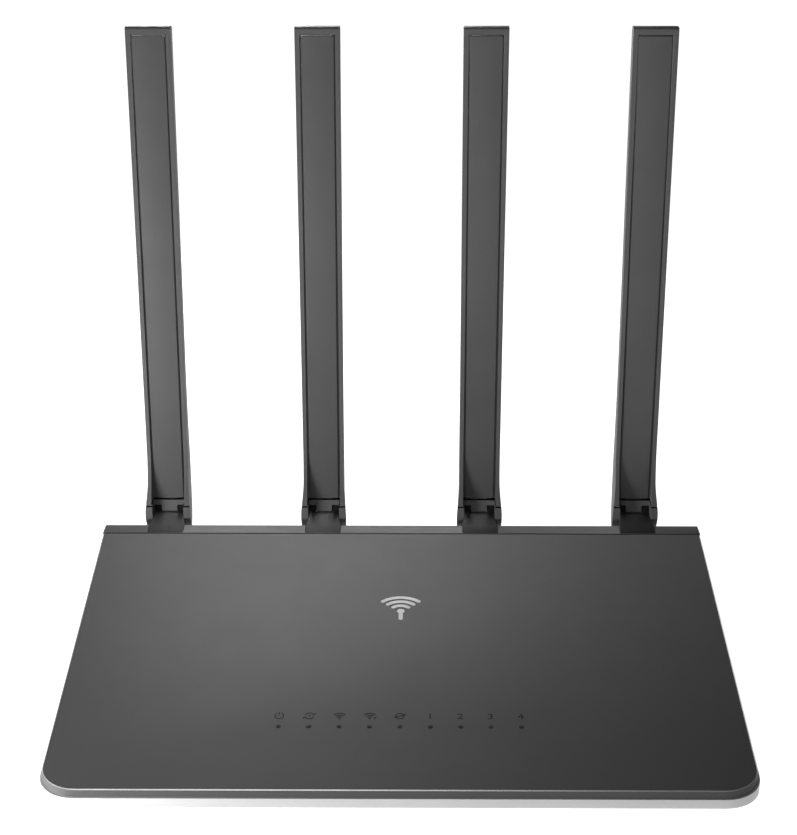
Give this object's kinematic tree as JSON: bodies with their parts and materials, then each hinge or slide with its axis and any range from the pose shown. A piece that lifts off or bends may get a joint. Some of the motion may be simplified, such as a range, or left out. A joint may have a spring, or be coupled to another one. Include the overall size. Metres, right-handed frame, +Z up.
{
  "type": "wireless router",
  "caption": "Flat wedge-shaped wireless router in black over a silver tray, with folding paddle antennas on rear hinge arms and network sockets at the back.",
  "frame": {"origin": "on the table under the middle of the whole object", "axes": "+X to the user's right along the row of antennas, +Y to the rear where the ports are, +Z up"},
  "size_m": [0.23, 0.1852, 0.2135],
  "materials": {
    "cover_black": "satin fine grain, polished rim",
    "bridge_black": "satin, glossy hinge arms",
    "tray_silver": "satin silver paint",
    "emblem_grey": "flat grey print",
    "board_green": "solder mask",
    "light_guide_clear": "clear moulded light guide",
    "chip_black": "moulded compound",
    "heatsink_aluminium": "extruded",
    "shield_tin": "tin plated sheet",
    "jack_blue": "moulded",
    "jack_yellow": "moulded",
    "label_paper": "blank paper label",
    "foot_rubber": "moulded",
    "screw_steel": "bright zinc",
    "cable_jacket": "thin coaxial jacket",
    "paddle_black": "satin fine grain",
    "panel_black": "satin fine grain",
    "radiator_brass": "etched strip"
  },
  "bodies": {
    "housing": {"top_cover": "cover_black", "rear_bridge": "bridge_black", "base_tray": "tray_silver", "top_badge": "emblem_grey", "main_board": "board_green", "led_strip": "board_green", "light_guide": "light_guide_clear", "processor": "chip_black", "memory_chip": "chip_black", "flash_chip": "chip_black", "lan_transformer_a": "chip_black", "lan_transformer_b": "chip_black", "filter_capacitor_a": "chip_black", "filter_capacitor_b": "chip_black", "power_inductor": "chip_black", "reset_switch": "chip_black", "dc_jack": "chip_black", "heatsink": "heatsink_aluminium", "radio_shield_2g": "shield_tin", "radio_shield_5g": "shield_tin", "wan_jack": "jack_blue", "lan_jack_1": "jack_yellow", "lan_jack_2": "jack_yellow", "lan_jack_3": "jack_yellow", "lan_jack_4": "jack_yellow", "rating_label": "label_paper", "rubber_foot_1": "foot_rubber", "rubber_foot_2": "foot_rubber", "rubber_foot_3": "foot_rubber", "rubber_foot_4": "foot_rubber", "case_screw_1": "screw_steel", "case_screw_2": "screw_steel", "case_screw_3": "screw_steel", "case_screw_4": "screw_steel", "antenna_pigtail_1": "cable_jacket", "antenna_pigtail_2": "cable_jacket", "antenna_pigtail_3": "cable_jacket", "antenna_pigtail_4": "cable_jacket"},
    "reset_button": {"reset_button": "cover_black"},
    "antenna_1": {"antenna_shell_1": "paddle_black", "antenna_front_panel_1": "panel_black", "antenna_radiator_1": "radiator_brass", "hinge_pin_1": "screw_steel", "antenna_feed_cable_1": "cable_jacket"},
    "antenna_2": {"antenna_shell_2": "paddle_black", "antenna_front_panel_2": "panel_black", "antenna_radiator_2": "radiator_brass", "hinge_pin_2": "screw_steel", "antenna_feed_cable_2": "cable_jacket"},
    "antenna_3": {"antenna_shell_3": "paddle_black", "antenna_front_panel_3": "panel_black", "antenna_radiator_3": "radiator_brass", "hinge_pin_3": "screw_steel", "antenna_feed_cable_3": "cable_jacket"},
    "antenna_4": {"antenna_shell_4": "paddle_black", "antenna_front_panel_4": "panel_black", "antenna_radiator_4": "radiator_brass", "hinge_pin_4": "screw_steel", "antenna_feed_cable_4": "cable_jacket"}
  },
  "joints": [
    {"name": "antenna_fold_1", "type": "hinge", "parent": "housing", "child": "antenna_1", "pos_m": [-0.09075, 0.0884, 0.0265], "axis": [-1, 0, 0], "range_deg": [0, 90]},
    {"name": "antenna_fold_2", "type": "hinge", "parent": "housing", "child": "antenna_2", "pos_m": [-0.03025, 0.0884, 0.0265], "axis": [-1, 0, 0], "range_deg": [0, 90]},
    {"name": "antenna_fold_3", "type": "hinge", "parent": "housing", "child": "antenna_3", "pos_m": [0.03025, 0.0884, 0.0265], "axis": [-1, 0, 0], "range_deg": [0, 90]},
    {"name": "antenna_fold_4", "type": "hinge", "parent": "housing", "child": "antenna_4", "pos_m": [0.09075, 0.0884, 0.0265], "axis": [-1, 0, 0], "range_deg": [0, 90]},
    {"name": "reset_press", "type": "slide", "parent": "housing", "child": "reset_button", "axis": [0, -1, 0], "range_m": [0, 0.0008], "stiffness_N_per_m": 1000}
  ]
}
